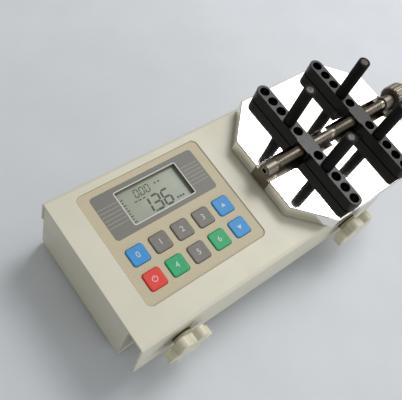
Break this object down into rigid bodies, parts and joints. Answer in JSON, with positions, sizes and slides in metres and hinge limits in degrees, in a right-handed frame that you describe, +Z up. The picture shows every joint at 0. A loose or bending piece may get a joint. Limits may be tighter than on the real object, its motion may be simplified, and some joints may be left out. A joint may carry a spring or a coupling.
{
  "type": "bottle cap torque tester",
  "caption": "Digital torque meter for bottle caps: sheet-metal case with keypad and display, octagonal sensor tray with pegged clamp bars on a lead screw.",
  "frame": {"origin": "middle of the whole object's outline in plan, on the table plane under the feet", "axes": "+X along the case from the keypad end to the tray end, +Y from the apron to the rear wall, +Z up"},
  "size_m": [0.3234, 0.1472, 0.1332],
  "materials": {
    "case_paint": "cream powder coat",
    "panel_film": "matt tan film",
    "window_film": "grey, satin",
    "display": "grey-green display",
    "display_frame": "plain",
    "key_blue": "satin",
    "key_grey": "satin",
    "key_green": "satin",
    "key_red": "satin",
    "black_plastic": "matt",
    "board": "green solder mask",
    "cell_wrap": "shrink wrap",
    "rubber": "matt",
    "steel": "turned or ground",
    "polished_steel": "polished stainless sheet",
    "alloy": "machined",
    "black_anodised": "black anodised",
    "bronze": "turned",
    "knob_plastic": "cream moulding",
    "fibre": "vulcanised fibre"
  },
  "bodies": {
    "case": {"base_shell": "case_paint", "cover": "case_paint", "feet": "rubber", "cover_screws": "steel", "key_panel": "panel_film", "display_window": "window_film", "lcd_glass": "display", "lcd_module": "display_frame", "key_board": "board", "key_switches": "black_plastic", "board_spacers": "steel", "main_board": "board", "main_components": "black_plastic", "battery_pack": "cell_wrap", "data_port": "steel", "power_socket": "black_plastic", "sensor_housing": "alloy", "torsion_shaft": "steel", "hub_bearing": "steel", "sensor_screws": "steel", "knob_standoffs": "steel"},
    "key_zero": {"key_zero": "key_blue"},
    "key_unit": {"key_unit": "key_grey"},
    "key_peak": {"key_peak": "key_grey"},
    "key_memory": {"key_memory": "key_grey"},
    "key_up": {"key_up": "key_blue"},
    "key_power": {"key_power": "key_red"},
    "key_clear": {"key_clear": "key_green"},
    "key_print": {"key_print": "key_grey"},
    "key_set": {"key_set": "key_green"},
    "key_down": {"key_down": "key_blue"},
    "tray_head": {"tray_hub": "alloy", "hub_screws": "steel", "guide_channel": "steel", "tray": "polished_steel", "tray_screws": "steel", "bearing_block_left": "steel", "bearing_block_right": "steel", "block_screws": "steel"},
    "screw": {"lead_screw": "steel", "hand_knob": "steel"},
    "bar_left": {"clamp_bar_left": "black_anodised", "nut_left": "bronze"},
    "peg_left_front": {"peg_left_front": "steel", "sleeve_left_front": "rubber"},
    "peg_left_rear": {"peg_left_rear": "steel", "sleeve_left_rear": "rubber"},
    "feed_left": {"washer_left": "fibre"},
    "knob_left": {"star_knob_left": "knob_plastic", "stud_left": "steel"},
    "bar_right": {"clamp_bar_right": "black_anodised", "nut_right": "bronze"},
    "peg_right_front": {"peg_right_front": "steel", "sleeve_right_front": "rubber"},
    "peg_right_rear": {"peg_right_rear": "steel", "sleeve_right_rear": "rubber"},
    "feed_right": {"washer_right": "fibre"},
    "knob_right": {"star_knob_right": "knob_plastic", "stud_right": "steel"}
  },
  "joints": [
    {"name": "tray_twist", "type": "hinge", "parent": "case", "child": "tray_head", "pos_m": [0.0695, 0.00275, 0.0802], "axis": [0, 0, 1], "range_deg": [-1.2, 1.2], "stiffness_Nm_per_rad": 150},
    {"name": "screw_turn", "type": "hinge", "parent": "tray_head", "child": "screw", "pos_m": [0.0695, 0.00275, 0.0856], "axis": [1, 0, 0], "range_deg": [-4680, 3960]},
    {"name": "bar_left_slide", "type": "slide", "parent": "tray_head", "child": "bar_left", "axis": [1, 0, 0], "range_m": [-0.026, 0.022]},
    {"name": "bar_right_slide", "type": "slide", "parent": "tray_head", "child": "bar_right", "axis": [-1, 0, 0], "range_m": [-0.026, 0.022]},
    {"name": "peg_left_front_lift", "type": "slide", "parent": "bar_left", "child": "peg_left_front", "axis": [0, 0, 1], "range_m": [0, 0.0115]},
    {"name": "peg_left_rear_lift", "type": "slide", "parent": "bar_left", "child": "peg_left_rear", "axis": [0, 0, 1], "range_m": [0, 0.0115]},
    {"name": "peg_right_front_lift", "type": "slide", "parent": "bar_right", "child": "peg_right_front", "axis": [0, 0, 1], "range_m": [0, 0.0115]},
    {"name": "peg_right_rear_lift", "type": "slide", "parent": "bar_right", "child": "peg_right_rear", "axis": [0, 0, 1], "range_m": [0, 0.0115]},
    {"name": "key_zero_press", "type": "slide", "parent": "case", "child": "key_zero", "axis": [0, 0, -1], "range_m": [0, 0.0005], "stiffness_N_per_m": 500, "springref_m": -0.001},
    {"name": "key_unit_press", "type": "slide", "parent": "case", "child": "key_unit", "axis": [0, 0, -1], "range_m": [0, 0.0005], "stiffness_N_per_m": 500, "springref_m": -0.001},
    {"name": "key_peak_press", "type": "slide", "parent": "case", "child": "key_peak", "axis": [0, 0, -1], "range_m": [0, 0.0005], "stiffness_N_per_m": 500, "springref_m": -0.001},
    {"name": "key_memory_press", "type": "slide", "parent": "case", "child": "key_memory", "axis": [0, 0, -1], "range_m": [0, 0.0005], "stiffness_N_per_m": 500, "springref_m": -0.001},
    {"name": "key_up_press", "type": "slide", "parent": "case", "child": "key_up", "axis": [0, 0, -1], "range_m": [0, 0.0005], "stiffness_N_per_m": 500, "springref_m": -0.001},
    {"name": "key_power_press", "type": "slide", "parent": "case", "child": "key_power", "axis": [0, 0, -1], "range_m": [0, 0.0005], "stiffness_N_per_m": 500, "springref_m": -0.001},
    {"name": "key_clear_press", "type": "slide", "parent": "case", "child": "key_clear", "axis": [0, 0, -1], "range_m": [0, 0.0005], "stiffness_N_per_m": 500, "springref_m": -0.001},
    {"name": "key_print_press", "type": "slide", "parent": "case", "child": "key_print", "axis": [0, 0, -1], "range_m": [0, 0.0005], "stiffness_N_per_m": 500, "springref_m": -0.001},
    {"name": "key_set_press", "type": "slide", "parent": "case", "child": "key_set", "axis": [0, 0, -1], "range_m": [0, 0.0005], "stiffness_N_per_m": 500, "springref_m": -0.001},
    {"name": "key_down_press", "type": "slide", "parent": "case", "child": "key_down", "axis": [0, 0, -1], "range_m": [0, 0.0005], "stiffness_N_per_m": 500, "springref_m": -0.001},
    {"name": "feed_left_slide", "type": "slide", "parent": "case", "child": "feed_left", "axis": [0, -0.9986, 0.0523], "range_m": [0, 0.003]},
    {"name": "knob_left_turn", "type": "hinge", "parent": "feed_left", "child": "knob_left", "pos_m": [-0.1227, -0.05966, 0.03839], "axis": [0, -0.9986, 0.0523], "range_deg": [0, 1080]},
    {"name": "feed_right_slide", "type": "slide", "parent": "case", "child": "feed_right", "axis": [0, -0.9986, 0.0523], "range_m": [0, 0.003]},
    {"name": "knob_right_turn", "type": "hinge", "parent": "feed_right", "child": "knob_right", "pos_m": [0.0593, -0.05966, 0.03839], "axis": [0, -0.9986, 0.0523], "range_deg": [0, 1080]}
  ],
  "couplings": [
    {"joint": "screw_turn", "follows": "bar_left_slide", "rad_per_m": 3141.6},
    {"joint": "bar_right_slide", "follows": "bar_left_slide", "ratio": 1},
    {"joint": "knob_left_turn", "follows": "feed_left_slide", "rad_per_m": 6283.2},
    {"joint": "knob_right_turn", "follows": "feed_right_slide", "rad_per_m": 6283.2}
  ]
}
